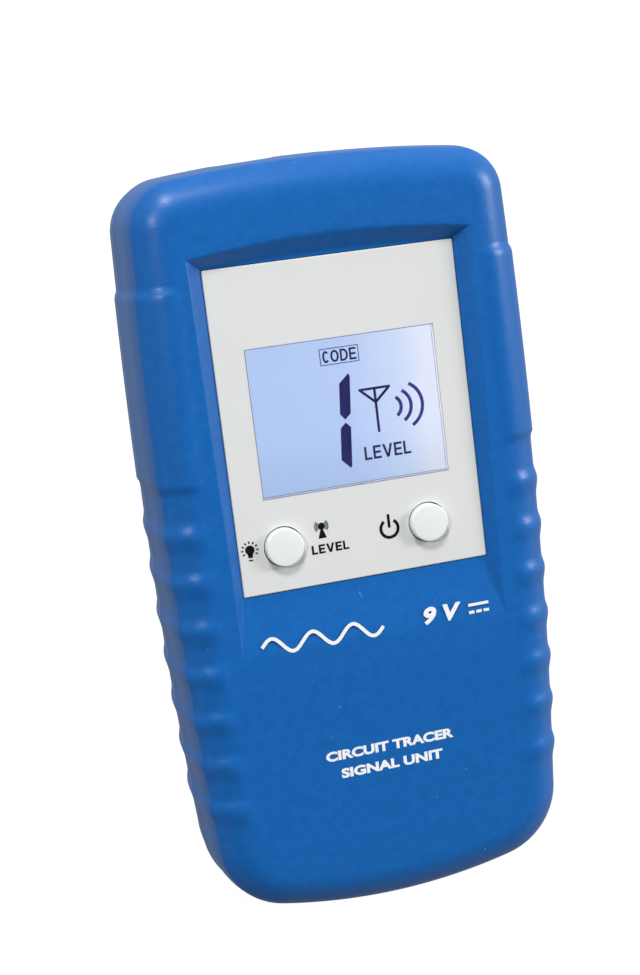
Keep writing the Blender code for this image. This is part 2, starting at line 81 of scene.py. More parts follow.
# ---------------------------------------------------------------- case form
# The CAD model's, with a squarer front edge, lopsided ridges and a finer seam.
WIDEST_Y = 9.0
BOW_UP = 1.75
BOW_DOWN = 2.3
TOP_END = (1, 232.0, 8.8)           # direction, arch radius, corner radius
BOTTOM_END = (-1, 101.0, 13.5)
SHOULDER = ((7.1, 55), (2.2, 80))   # front edge, from the face out: radius, and lean where it ends
SHOULDER_FOOT = (6.8, 10.0)         # where the front edge meets the wall: inward, downward
BACK_EDGE = (5.6, 12.5)             # rounding: inward, downward
FRONT_HOLLOW_EDGE = (3.8, 8.6)
BACK_HOLLOW_EDGE = (4.6, 10.3)
DRAFT = 0.3
LIP = 0.12                          # small chamfer on both shells where they meet
SEAM = 0.05                         # half of the gap between the shells

PAD_RISE = 0.45
PAD_TOP_Y = 45.5
PAD_BOTTOM_Y = 13.1
PAD_EASE = 0.9
RIDGE_FIRST_Y = 5.4
RIDGE_PITCH = 8.0
RIDGE_COUNT = 7
RIDGE_UPPER = 2.3                   # each ridge is steeper above its crest than below
RIDGE_LOWER = 3.3
GRIP_FADE = (5.2, 8.3)              # the grips fade out between these distances from the outline
FACE_INSETS = (7.5, 7.9, 8.4)

FLOOR_Z = 29.9                      # floor of the display recess
KNEE_Y = -22.0                      # the face falls faster below here
KNEE_Z = 31.1
CROWN_Y = 51.0
LOW_FACE_Z = 29.6
RAMP_Y = -7.0                       # below this the recess floor ramps up to the face
RAMP_SLOPE = 1 / 7.5
RAMP_SOFT = 0.8                     # roundness of the ramp's foot and of its crest
RAMP_EASE = 0.06
WALL_LEAN = 1.3                     # recess walls: outward for each millimetre up
RIM_CORNER = 2.0                    # the upper wall's depth at its corners, and what its arch adds
RIM_ARCH = 2.05

PATCH_LOW_Y = -50.0                 # the floor grid runs down to here
TOP_BLEND_Y = 40.0                  # above and below these the floor rows close up
LOW_BLEND_Y = -42.0
ARCH_STEPS = 16
CORNER_STEPS = 9
SIDE_STEP = 0.66


def half_width(y):
    bow = np.where(y > WIDEST_Y, BOW_UP, BOW_DOWN)
    return HALF_WIDTH - PAD_RISE - bow * ((y - WIDEST_Y) / END_Y) ** 2


def face_height(y):
    upper = KNEE_Z + (CASE_HEIGHT - KNEE_Z) * (y - KNEE_Y) / (CROWN_Y - KNEE_Y)
    lower = KNEE_Z - (KNEE_Z - LOW_FACE_Z) * (KNEE_Y - y) / (KNEE_Y + END_Y)
    return np.where(y > CROWN_Y, CASE_HEIGHT, np.where(y > KNEE_Y, upper, lower))


def floor_height(y):
    """Recess floor: level under the panel, then a ramp with soft ends up to the face."""
    face = face_height(y)
    ramp = FLOOR_Z + RAMP_SLOPE * 0.5 * ((RAMP_Y - y) + np.sqrt((RAMP_Y - y) ** 2 + RAMP_SOFT ** 2))
    return 0.5 * (ramp + face - np.sqrt((ramp - face) ** 2 + RAMP_EASE ** 2))


def ease(t):
    t = np.clip(t, 0.0, 1.0)
    return t * t * (3 - 2 * t)


def grip_relief(y):
    """How far the grip stands out at y, from 0 to 1: one long pad and a row of ridges below it."""
    pad = ease((y - PAD_BOTTOM_Y) / PAD_EASE + 0.5) * ease((PAD_TOP_Y - y) / PAD_EASE + 0.5)
    for k in range(RIDGE_COUNT):
        above = y - RIDGE_FIRST_Y + k * RIDGE_PITCH
        off = np.where(above > 0, above / RIDGE_UPPER, -above / RIDGE_LOWER)
        pad = pad + np.where(off < 1, 0.5 * (1 + np.cos(math.pi * np.minimum(off, 1.0))), 0.0)
    return pad


def floor_side(y):
    """Half width of the recess floor at y: the leaning walls set it where the floor rises."""
    return PANEL_SIDE + WALL_LEAN * (floor_height(y) - FLOOR_Z)


def corner_centre(end, arch_r, radius):
    y = end * (END_Y - radius)
    for _ in range(20):
        x = float(half_width(np.float64(y))) - radius
        y = end * (END_Y - arch_r + math.sqrt((arch_r - radius) ** 2 - x * x))
    return x, y


def end_points(end, arch_r, radius):
    """Points from the middle of an end to the middle of its corner, and from there on to the side."""
    x, y = corner_centre(end, arch_r, radius)
    arch_y = end * (END_Y - arch_r)
    lean = math.atan2(x, abs(y - arch_y))
    middle = (lean + math.pi / 2) / 2
    across = []
    for k in range(ARCH_STEPS):
        a = lean * k / ARCH_STEPS
        nx, ny = math.sin(a), end * math.cos(a)
        across.append((arch_r * nx, arch_y + arch_r * ny, nx, ny))
    for k in range(CORNER_STEPS + 1):
        a = lean + (middle - lean) * k / CORNER_STEPS
        nx, ny = math.sin(a), end * math.cos(a)
        across.append((x + radius * nx, y + radius * ny, nx, ny))
    down = []
    for k in range(CORNER_STEPS + 1):
        a = middle + (math.pi / 2 - middle) * k / CORNER_STEPS
        nx, ny = math.sin(a), end * math.cos(a)
        down.append((x + radius * nx, y + radius * ny, nx, ny))
    return across, down, y


def outline():
    """The case outline as spokes, clockwise from the top left corner, with the floor grid's own lines.

    Returns outline points, outward normals, the floor's column shares and the floor's row heights.
    """
    top_across, top_down, top_y = end_points(*TOP_END)
    low_across, low_down, low_y = end_points(*BOTTOM_END)
    steps = round((top_y - low_y) / SIDE_STEP)
    straight = [top_y + (low_y - top_y) * k / steps for k in range(1, steps)]
    side = top_down + [(float(half_width(np.float64(y))), y, 1.0, 0.0) for y in straight] + low_down[::-1]

    def mirrored(points):
        return [(-x, y, -nx, ny) for x, y, nx, ny in points]

    top = mirrored(top_across)[::-1] + top_across[1:]
    low = mirrored(low_across)[::-1] + low_across[1:]
    spokes = top[:-1] + side[:-1] + low[:0:-1] + mirrored(side)[:0:-1]

    shares = [0.78 * k / ARCH_STEPS for k in range(ARCH_STEPS)]
    shares += [0.78 + 0.22 * k / CORNER_STEPS for k in range(CORNER_STEPS + 1)]
    columns = [-s for s in shares[:0:-1]] + shares

    path = [0.0]
    for a, b in zip(side, side[1:]):
        path.append(path[-1] + math.hypot(b[0] - a[0], b[1] - a[1]))
    marks = [0.0, np.interp(-TOP_BLEND_Y, [-p[1] for p in side], path),
             np.interp(-LOW_BLEND_Y, [-p[1] for p in side], path), path[-1]]
    rows = np.interp(path, marks, [PANEL_UPPER, TOP_BLEND_Y, LOW_BLEND_Y, PATCH_LOW_Y])
    data = np.array(spokes)
    return data[:, :2], data[:, 2:], np.array(columns), rows


OUTLINE, NORMALS, COLUMNS, ROWS = outline()
SPOKES = len(OUTLINE)
ON_SIDE = np.abs(NORMALS[:, 0]) > 0.999


def floor_border():
    """The floor grid's border points, in the order of the spokes."""
    top = [(c * floor_side(ROWS[0]), ROWS[0]) for c in COLUMNS]
    right = [(floor_side(y), y) for y in ROWS]
    low = [(c * floor_side(ROWS[-1]), ROWS[-1]) for c in COLUMNS]
    left = [(-x, y) for x, y in right]
    return np.array(top[:-1] + right[:-1] + low[:0:-1] + left[:0:-1])


def ring(inset, height):
    """A closed ring of points at a distance inside the outline."""
    at = OUTLINE - NORMALS * inset
    return np.column_stack([at, height(at[:, 1]) * np.ones(SPOKES)])


def ellipse(edge, steps):
    """A rounded edge from the wall to the face: inset, drop and the two parts of the normal."""
    inward, depth = edge
    made = []
    for k in range(steps + 1):
        a = math.pi / 2 * k / steps
        lift = Vector((math.cos(a) / inward, math.sin(a) / depth)).normalized()
        made.append((inward * (1 - math.cos(a)), depth * (1 - math.sin(a)), lift.x, lift.y))
    return made


def shoulder():
    """The front edge: a steep wall, a quick turn and a broad curve into the face."""
    inset, drop = SHOULDER_FOOT[0], 0.0
    made, start = [], 0.0
    for radius, lean in SHOULDER:
        steps = round((lean - start) / 5)
        for k in range(steps):
            a, b = (math.radians(start + (lean - start) * (k + t) / steps) for t in (0, 1))
            made.append((inset, drop, math.sin(a), math.cos(a)))
            inset -= radius * (math.sin(b) - math.sin(a))
            drop += radius * (math.cos(a) - math.cos(b))
        start = lean
    for t in (0.0, 0.15, 0.4, 0.7, 1.0):
        a = math.radians(start + (90 - start) * t)
        share = 1 - (1 - t) ** 2
        made.append((inset * (1 - share), drop + (SHOULDER_FOOT[1] - drop) * t, math.sin(a), math.cos(a)))
    return made[::-1]


def grip_share(inset):
    return 1 - ease((inset - GRIP_FADE[0]) / (GRIP_FADE[1] - GRIP_FADE[0]))


def rounded_rings(inset, profile, height, toward, grip):
    """Rings up a rounded edge, from the wall to the face, with the grips standing out square to it."""
    relief = grip_relief(OUTLINE[:, 1]) * ON_SIDE * PAD_RISE * grip
    rings = []
    for inward, drop, out, up in profile:
        made = ring(inset + DRAFT + inward, lambda y: height(y) - toward * drop)
        rise = relief * grip_share(inset + DRAFT + inward)
        made[:, :2] += NORMALS * (rise * out)[:, None]
        made[:, 2] += toward * rise * up
        rings.append(made)
    return rings


def mouth_rings(z, toward):
    """The outer rim where the shells meet: a small chamfer and the wall beside it."""
    relief = grip_relief(OUTLINE[:, 1]) * ON_SIDE * PAD_RISE
    rings = []
    for cut, rise in ((LIP, 0.0), (0.0, LIP)):
        made = ring(cut, lambda y: z + toward * rise)
        made[:, :2] += NORMALS * relief[:, None]
        rings.append(made)
    return rings


def solid_from_rings(name, rings, grid=None):
    """A closed solid: a flat cap, the rings in turn, and a cap or a grid of points at the end."""
    bm = bmesh.new()
    made = [[bm.verts.new(p) for p in points] for points in rings]
    bm.faces.new(made[0])
    for low, high in zip(made, made[1:]):
        for k in range(SPOKES):
            bm.faces.new((low[k], low[(k + 1) % SPOKES], high[(k + 1) % SPOKES], high[k]))
    if grid is None:
        bm.faces.new(made[-1])
    else:
        last = made[-1]
        wide, tall = len(COLUMNS) - 1, len(ROWS) - 1
        border = {}
        for i in range(wide + 1):
            border[i, 0] = last[i]
            border[i, tall] = last[(2 * wide + tall - i) % SPOKES]
        for j in range(tall + 1):
            border[wide, j] = last[wide + j]
            border[0, j] = last[(2 * wide + 2 * tall - j) % SPOKES]
        at = {}
        for i in range(wide + 1):
            for j in range(tall + 1):
                at[i, j] = border.get((i, j)) or bm.verts.new(grid(COLUMNS[i], ROWS[j]))
        for i in range(wide):
            for j in range(tall):
                bm.faces.new((at[i, j], at[i + 1, j], at[i + 1, j + 1], at[i, j + 1]))
    bmesh.ops.recalc_face_normals(bm, faces=bm.faces)
    return object_from(bm, name)


def object_from(bm, name):
    """Link a bmesh in millimetres as an object in metres."""
    bmesh.ops.scale(bm, vec=(MM, MM, MM), verts=bm.verts)
    mesh = bpy.data.meshes.new(name)
    bm.to_mesh(mesh)
    bm.free()
    made = bpy.data.objects.new(name, mesh)
    bpy.context.scene.collection.objects.link(made)
    return made


# ---------------------------------------------------------------- small solids and cutting
def block(low, high, round_by=0.0, segments=3):
    bm = bmesh.new()
    size = [h - l for l, h in zip(low, high)]
    middle = [(h + l) / 2 for l, h in zip(low, high)]
    bmesh.ops.create_cube(bm, size=1.0, matrix=Matrix.Translation(middle) @ Matrix.Diagonal((*size, 1.0)))
    if round_by:
        bmesh.ops.bevel(bm, geom=bm.edges[:], offset=round_by, segments=segments, profile=0.5, affect="EDGES")
    return object_from(bm, "block")


def rod(at, radius, length, axis="Z", sides=48):
    bm = bmesh.new()
    bmesh.ops.create_cone(bm, cap_ends=True, segments=sides, radius1=radius, radius2=radius, depth=length)
    turn = Matrix.Rotation(-math.pi / 2, 4, "X") if axis == "Y" else Matrix()
    bm.transform(Matrix.Translation(at) @ turn @ Matrix.Translation((0, 0, length / 2)))
    return object_from(bm, "rod")


def turned(name, profile, at, axis="Z", sides=64):
    """A turned solid from (radius, height) points that run from the top of the axis to its foot."""
    bm = bmesh.new()
    points = [bm.verts.new((r, 0, h)) for r, h in profile]
    edges = [bm.edges.new(pair) for pair in zip(points, points[1:])]
    bmesh.ops.spin(bm, geom=points + edges, cent=(0, 0, 0), axis=(0, 0, 1), steps=sides, angle=2 * math.pi)
    bmesh.ops.remove_doubles(bm, verts=bm.verts, dist=0.0005)
    bmesh.ops.recalc_face_normals(bm, faces=bm.faces)
    turn = Matrix.Rotation(-math.pi / 2, 4, "X") if axis == "Y" else Matrix()
    bm.transform(Matrix.Translation(at) @ turn)
    return object_from(bm, name)


def fillet(radius, height, round_by, steps=6):
    """Profile points of a rounded outer rim that ends at (radius, height - round_by)."""
    return [(radius - round_by + round_by * math.sin(math.pi / 2 * k / steps),
             height - round_by + round_by * math.cos(math.pi / 2 * k / steps)) for k in range(steps + 1)]


def boolean(target, tools, operation="DIFFERENCE"):
    """Apply one Boolean with one or more closed tools, then remove them."""
    group = bpy.data.collections.new("tools")
    bpy.context.scene.collection.children.link(group)
    for tool in tools:
        group.objects.link(tool)
    step = target.modifiers.new("step", "BOOLEAN")
    if operation == "INTERSECT":
        step.object = tools[0]
    else:
        step.operand_type = "COLLECTION"
        step.collection = group
    step.operation = operation
    step.solver = "EXACT"
    bake(target)
    for tool in tools:
        bpy.data.objects.remove(tool)
    bpy.data.collections.remove(group)
    return target


def bake(target):
    """Replace an object's mesh with its evaluated one and drop the modifiers."""
    evaluated = target.evaluated_get(bpy.context.evaluated_depsgraph_get())
    mesh = bpy.data.meshes.new_from_object(evaluated)
    target.modifiers.clear()
    target.data = mesh
    return target


def piece(made, name, body, finish, replaces=(), smooth=35):
    """Name a finished object, give it its material and put it on its body."""
    made.name = name
    made.data.name = name
    made.data.materials.clear()
    made.data.materials.append(finish)
    if made.type == "MESH":
        made.data.shade_smooth()
        made.data.set_sharp_from_angle(angle=math.radians(smooth))
    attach(made, body)
    if replaces:
        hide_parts(*replaces)
    return made


# ---------------------------------------------------------------- materials
def shader_of(name):
    made = bpy.data.materials.new(name)
    made.use_nodes = True
    return made, made.node_tree.nodes, made.node_tree.links, made.node_tree.nodes["Principled BSDF"]


def noise_node(nodes, links, scale, detail=2.0, stretch=(1, 1, 1)):
    place = nodes.new("ShaderNodeTexCoord")
    fit = nodes.new("ShaderNodeMapping")
    fit.inputs["Scale"].default_value = stretch
    links.new(place.outputs["Object"], fit.inputs["Vector"])
    noise = nodes.new("ShaderNodeTexNoise")
    noise.inputs["Scale"].default_value = scale
    noise.inputs["Detail"].default_value = detail
    links.new(fit.outputs["Vector"], noise.inputs["Vector"])
    return noise


def ramp_node(nodes, links, source, stops):
    ramp = nodes.new("ShaderNodeValToRGB")
    elements = ramp.color_ramp.elements
    for place, _ in stops[1:-1]:
        elements.new(place)
    elements[0].position = stops[0][0]
    elements[-1].position = stops[-1][0]
    for element, (_, color) in zip(elements, stops):
        element.color = (*color, 1.0)
    links.new(source, ramp.inputs["Fac"])
    return ramp


def uneven_roughness(nodes, links, shader, noise, low, high):
    rough = nodes.new("ShaderNodeMapRange")
    rough.inputs["To Min"].default_value = low
    rough.inputs["To Max"].default_value = high
    links.new(noise.outputs["Fac"], rough.inputs["Value"])
    links.new(rough.outputs["Result"], shader.inputs["Roughness"])


def share_along(nodes, links, source, low, high):
    """A coordinate's share of the way from low to high, which are in millimetres."""
    share = nodes.new("ShaderNodeMapRange")
    share.inputs["From Min"].default_value = low * MM
    share.inputs["From Max"].default_value = high * MM
    links.new(source, share.inputs["Value"])
    return share.outputs["Result"]


def multiply_add(nodes, links, source, factor):
    made = nodes.new("ShaderNodeMath")
    made.operation = "MULTIPLY_ADD"
    made.inputs[1].default_value = factor
    links.new(source, made.inputs[0])
    return made


def surface(name, colors, roughness, color_scale=300.0, grain=2500.0, bump=0.02, detail=3.0,
            stretch=(1, 1, 1), **sockets):
    """A moulded, painted or metal surface: mottled colour, uneven roughness and a fine grain."""
    made, nodes, links, shader = shader_of(name)
    mottle = noise_node(nodes, links, color_scale, detail, stretch)
    ramp = ramp_node(nodes, links, mottle.outputs["Fac"], [(0.3, colors[0]), (0.7, colors[1])])
    links.new(ramp.outputs["Color"], shader.inputs["Base Color"])
    grains = noise_node(nodes, links, grain, 2.0, stretch)
    uneven_roughness(nodes, links, shader, grains, *roughness)
    relief = nodes.new("ShaderNodeBump")
    relief.inputs["Strength"].default_value = 1.0
    relief.inputs["Distance"].default_value = bump * MM
    links.new(grains.outputs["Fac"], relief.inputs["Height"])
    links.new(relief.outputs["Normal"], shader.inputs["Normal"])
    for socket, value in sockets.items():
        shader.inputs[socket.replace("_", " ")].default_value = value
    return made


def blue_plastic():
    """Sand-textured blue ABS with a few light specks of dust."""
    made = surface("blue_case_plastic", ((0.0045, 0.111, 0.398), (0.0075, 0.125, 0.436)), (0.28, 0.40),
                   color_scale=700.0, grain=3300.0, bump=0.026, detail=5.0, Specular_IOR_Level=0.32)
    nodes, links = made.node_tree.nodes, made.node_tree.links
    shader = nodes["Principled BSDF"]
    base = shader.inputs["Base Color"].links[0].from_socket
    specks = noise_node(nodes, links, 1500.0, 1.0)
    pick = ramp_node(nodes, links, specks.outputs["Fac"], [(0.79, (0, 0, 0)), (0.82, (1, 1, 1))])
    mix = nodes.new("ShaderNodeMix")
    mix.data_type = "RGBA"
    mix.inputs["B"].default_value = (0.09, 0.26, 0.58, 1.0)
    links.new(pick.outputs["Color"], mix.inputs["Factor"])
    links.new(base, mix.inputs["A"])
    links.new(mix.outputs["Result"], shader.inputs["Base Color"])
    return made


def lcd_light():
    """The lit display: a light guide that is brightest at its right edge, seen through the cell."""
    made, nodes, links, shader = shader_of("lcd_lit_cell")
    place = nodes.new("ShaderNodeTexCoord")
    split = nodes.new("ShaderNodeSeparateXYZ")
    links.new(place.outputs["Object"], split.inputs["Vector"])
    cloud = noise_node(nodes, links, 60.0, 1.0)
    sway = multiply_add(nodes, links, cloud.outputs["Fac"], 0.10)
    across = share_along(nodes, links, split.outputs["X"], WINDOW_LOW.x, WINDOW_HIGH.x)
    links.new(across, sway.inputs[2])
    left_right = ramp_node(nodes, links, sway.outputs["Value"], [
        (0.10, (0.455, 0.60, 0.90)), (0.55, (0.48, 0.62, 0.92)), (0.85, (0.62, 0.73, 0.95)),
        (1.0, (0.80, 0.84, 0.98))])
    up = share_along(nodes, links, split.outputs["Y"], WINDOW_LOW.y, WINDOW_HIGH.y)
    low_high = ramp_node(nodes, links, up, [
        (0.0, (0.84, 0.87, 0.88)), (0.35, (0.97, 0.98, 0.99)), (1.0, (1.0, 1.0, 1.0))])
    mix = nodes.new("ShaderNodeMix")
    mix.data_type = "RGBA"
    mix.blend_type = "MULTIPLY"
    mix.inputs["Factor"].default_value = 1.0
    links.new(left_right.outputs["Color"], mix.inputs["A"])
    links.new(low_high.outputs["Color"], mix.inputs["B"])
    links.new(mix.outputs["Result"], shader.inputs["Emission Color"])
    shader.inputs["Emission Strength"].default_value = 1.0
    shader.inputs["Base Color"].default_value = (0.03, 0.03, 0.05, 1.0)
    shader.inputs["Roughness"].default_value = 0.25
    return made


def clear_plastic():
    made, nodes, links, shader = shader_of("clear_acrylic")
    uneven_roughness(nodes, links, shader, noise_node(nodes, links, 90.0, 2.0), 0.01, 0.06)
    shader.inputs["Base Color"].default_value = (0.97, 0.98, 1.0, 1.0)
    shader.inputs["Transmission Weight"].default_value = 1.0
    shader.inputs["IOR"].default_value = 1.3
    return made


BLUE = blue_plastic()
WHITE = surface("fascia_print", ((0.698, 0.713, 0.704), (0.716, 0.729, 0.720)), (0.38, 0.50),
                120.0, 1800.0, 0.006)
KEY = surface("key_plastic", ((0.778, 0.822, 0.792), (0.800, 0.842, 0.812)), (0.32, 0.45),
              200.0, 2200.0, 0.006)
LIT = lcd_light()
CLEAR = clear_plastic()
SEGMENT_LIGHT = surface("lcd_segment_light", ((0.060, 0.060, 0.34), (0.075, 0.075, 0.40)), (0.5, 0.6),
                        900.0, 3000.0, 0.001, Specular_IOR_Level=0.2)
SEGMENT = surface("lcd_segment", ((0.020, 0.018, 0.15), (0.028, 0.027, 0.18)), (0.5, 0.6),
                  900.0, 3000.0, 0.001, Specular_IOR_Level=0.2)
BLACK_INK = surface("black_ink", ((0.003, 0.003, 0.004), (0.006, 0.006, 0.007)), (0.5, 0.65),
                    600.0, 4000.0, 0.002, Specular_IOR_Level=0.15)
GREY_INK = surface("grey_ink", ((0.11, 0.13, 0.13), (0.15, 0.17, 0.17)), (0.45, 0.6), 600.0, 4000.0, 0.002)
# Painted shadow: a grey-violet finish for the line that stands in for the shade cast by the panel's opening
# edge on the window
PAINTED_WINDOW_SHADOW = surface("painted_window_shadow_finish", ((0.20, 0.17, 0.34), (0.27, 0.23, 0.42)), (0.4, 0.5),
                   500.0, 3000.0, 0.002)
WHITE_INK = surface("white_ink", ((0.86, 0.88, 0.90), (0.93, 0.94, 0.95)), (0.4, 0.55), 600.0, 4000.0, 0.002)
BLACK = surface("black_nylon", ((0.012, 0.012, 0.013), (0.022, 0.022, 0.024)), (0.38, 0.55),
                350.0, 2600.0, 0.01)
RED = surface("red_nylon", ((0.48, 0.012, 0.014), (0.58, 0.022, 0.02)), (0.32, 0.48), 350.0, 2600.0, 0.01)
YELLOW = surface("dipped_yellow", ((0.66, 0.42, 0.04), (0.76, 0.50, 0.06)), (0.3, 0.45), 300.0, 900.0, 0.02)
FOAM = surface("foam_rubber", ((0.05, 0.05, 0.05), (0.10, 0.10, 0.10)), (0.85, 0.98), 900.0, 1300.0, 0.12)
LIGHT = surface("light_guide", ((0.84, 0.88, 0.95), (0.90, 0.93, 1.0)), (0.2, 0.4), 400.0, 1500.0, 0.01)
STEEL = surface("plated_steel", ((0.55, 0.55, 0.56), (0.66, 0.66, 0.66)), (0.2, 0.38), 500.0, 1800.0, 0.006,
                stretch=(1, 1, 6), Metallic=1.0)
BRASS = surface("turned_brass", ((0.70, 0.48, 0.16), (0.80, 0.60, 0.26)), (0.18, 0.32), 500.0, 2400.0, 0.008,
                stretch=(1, 8, 1), Metallic=1.0)
COPPER = surface("copper_winding", ((0.55, 0.20, 0.07), (0.78, 0.36, 0.15)), (0.28, 0.4), 700.0, 1100.0, 0.06,
                 stretch=(1, 1, 9), Metallic=1.0)
FERRITE = surface("ferrite", ((0.035, 0.035, 0.04), (0.06, 0.06, 0.065)), (0.55, 0.75), 500.0, 1500.0, 0.02)
BOARD = surface("solder_mask", ((0.008, 0.11, 0.03), (0.02, 0.22, 0.07)), (0.25, 0.4), 260.0, 700.0, 0.02,
                detail=0.0)


# ---------------------------------------------------------------- front shell
def recess_profile(t):
    """Height share up the recess wall, with soft corners at its foot and rim."""
    soft = 0.22
    slope = 1 / (1 - soft)
    if t < soft:
        return slope * t * t / (2 * soft)
    if t > 1 - soft:
        return 1 - slope * (1 - t) ** 2 / (2 * soft)
    return slope * (t - soft / 2)


def recess_rings():
    """Rings down the recess wall, from its rim to the floor."""
    base = floor_border()
    rim = base.copy()
    wide, tall = len(COLUMNS) - 1, len(ROWS) - 1
    top = np.zeros(SPOKES, bool)
    top[:wide + 1] = True
    side = np.zeros(SPOKES, bool)
    side[wide:wide + tall + 1] = True
    side[2 * wide + tall:] = True
    side[0] = True
    share = np.abs(base[:, 0]) / floor_side(base[:, 1])
    climb = face_height(base[:, 1]) - floor_height(base[:, 1])
    width = np.sqrt((WALL_LEAN * climb) ** 2 + 0.4 ** 2)
    rim[:, 0] += np.sign(base[:, 0]) * width * np.where(side, 1.0, share ** 3)
    near_top = ease((base[:, 1] - (PANEL_UPPER - 2.5)) / 2.5)
    arched = RIM_CORNER + RIM_ARCH * (1 - share ** 2)
    rim[:, 1] += np.where(top, arched, np.where(side, RIM_CORNER * near_top, 0.0))
    low = ~top & ~side
    rim[low, 1] -= 0.6
    rings = []
    for t in (1.0, 0.93, 0.86, 0.78, 0.5, 0.22, 0.14, 0.07, 0.0):
        at = base + (rim - base) * t
        floor = floor_height(base[:, 1])
        high = np.maximum(face_height(rim[:, 1]), floor)
        rings.append(np.column_stack([at, floor + (high - floor) * recess_profile(t)]))
    return rings


def socket_holes():
    """Rods that cut the two test-socket openings through the top end."""
    rods = []
    for name in ("red", "black"):
        low, high = cad_box(name + "_socket_housing")
        at = ((low.x + high.x) / 2, END_Y - SOCKET_HOLE_DEPTH, SPLIT_Z)
        rods.append(rod(at, SOCKET_HOLE_R, 14, "Y"))
    return rods


def front_shell():
    ceiling_z = PANEL_LOW.z - 1.5
    base = floor_border()
    walls = recess_rings()
    inner = [np.column_stack([base, np.full(SPOKES, ceiling_z)]),
             np.column_stack([walls[0][:, :2], np.full(SPOKES, ceiling_z)])]
    hollow = rounded_rings(WALL, ellipse(FRONT_HOLLOW_EDGE, 5), lambda y: face_height(y) - WALL, 1, 0.0)
    inner += hollow[::-1]
    inner.append(ring(WALL, lambda y: SPLIT_Z + SEAM))

    outer = mouth_rings(SPLIT_Z + SEAM, 1)
    outer += rounded_rings(0.0, shoulder(), face_height, 1, 1.0)
    relief = grip_relief(OUTLINE[:, 1]) * ON_SIDE * PAD_RISE
    for inset in FACE_INSETS:
        made = ring(inset, face_height)
        made[:, 2] += relief * grip_share(inset)
        outer.append(made)
    last, rim = outer[-1], walls[0]
    for share in (0.25, 0.5, 0.75):
        at = last[:, :2] + (rim[:, :2] - last[:, :2]) * share
        outer.append(np.column_stack([at, face_height(at[:, 1])]))
    outer += walls

    def floor_point(column, y):
        return (column * float(floor_side(y)), y, float(floor_height(y)))

    shell = solid_from_rings("front_shell", inner + outer, floor_point)
    cutters = [block((PANEL_LOW.x - FIT, PANEL_LOW.y - FIT, PANEL_LOW.z - GAP),
                     (PANEL_HIGH.x + FIT, PANEL_HIGH.y + FIT, 40)),
               block((LCD_LOW.x - GAP, LCD_LOW.y - GAP, 20), (LCD_HIGH.x + GAP, LCD_HIGH.y + GAP, 41))]
    for low, high in BUTTONS.values():
        middle = (low + high) / 2
        cutters.append(rod((middle.x, middle.y, 20), KEY_R + GAP, 22))
    cutters += socket_holes()
    boolean(shell, cutters)
    piece(shell, "front_cover_shell", "case", BLUE, ["front_case"])


# ---------------------------------------------------------------- rear shell and battery door
BAY_HALF = 13.6
BAY_WALL = 2.2
BAY_END_Y = -5.9
BAY_START_Y = -57.0
BAY_TOP_Z = 22.2
POST_R = 3.9
SCREW_WELL_R = 2.9
SCREW_HOLE_R = 1.6
GROOVE_FIRST_Y = -16.0              # thumb grooves across the door
GROOVE_PITCH = 2.2
GROOVE_COUNT = 5


def rear_form(name):
    """The rear shell before anything is cut from it."""
    hollow = rounded_rings(WALL, ellipse(BACK_HOLLOW_EDGE, 6), lambda y: WALL * np.ones_like(y), -1, 0.0)
    edge = [(inward, drop, out, 0.0) for inward, drop, out, _ in ellipse(BACK_EDGE, 14)]
    outer = rounded_rings(0.0, edge, lambda y: np.zeros_like(y), -1, 1.0)
    rings = hollow[::-1]
    rings.append(ring(WALL, lambda y: SPLIT_Z - SEAM))
    rings += mouth_rings(SPLIT_Z - SEAM, -1)
    rings += outer
    return solid_from_rings(name, rings)


def rear_shell():
    shell = rear_form("rear_shell")
    outer = BAY_HALF + BAY_WALL
    bay = block((-outer, BAY_START_Y, 1.0), (outer, BAY_END_Y + 1.4, BAY_TOP_Z + 1.3))
    boolean(bay, [block((-BAY_HALF, BAY_START_Y - 1, 0.5), (BAY_HALF, BAY_END_Y, BAY_TOP_Z))])
    boolean(shell, [bay], "UNION")
    boolean(shell, [block((-5.0, BAY_END_Y - 1, 10.0), (5.0, BAY_END_Y + 3, 14.0)),
                    block((-4.8, BAY_END_Y - 1, 0.9), (4.8, BAY_END_Y + 3, 4.3))])
    boolean(shell, [block((-4.9, BAY_END_Y + 0.6, 0.5), (4.9, BAY_END_Y + 3.2, WALL))], "UNION")
    opening = block((DOOR_LOW.x - GAP, -70, -1), (DOOR_HIGH.x + GAP, BAY_END_Y - 0.1, DOOR_HIGH.z + GAP))
    boolean(opening, [block((-outer - 0.2, BAY_START_Y + 0.1, WALL + GAP), (outer + 0.2, 0, 30))])
    boolean(shell, [opening])
    posts, wells = [], []
    for k in range(4):
        low, high = cad_box(f"case_screw_{k + 1}")
        x, y = (low.x + high.x) / 2, (low.y + high.y) / 2
        posts.append(rod((x, y, 0.8), POST_R, SPLIT_Z - 1.1))
        wells.append(rod((x, y, -1), SCREW_WELL_R, 10.5))
        wells.append(rod((x, y, 5), SCREW_HOLE_R, 12))
    boolean(shell, posts, "UNION")
    boolean(shell, wells)
    boolean(shell, socket_holes())
    piece(shell, "rear_cover_shell", "case", BLUE, ["rear_case"])


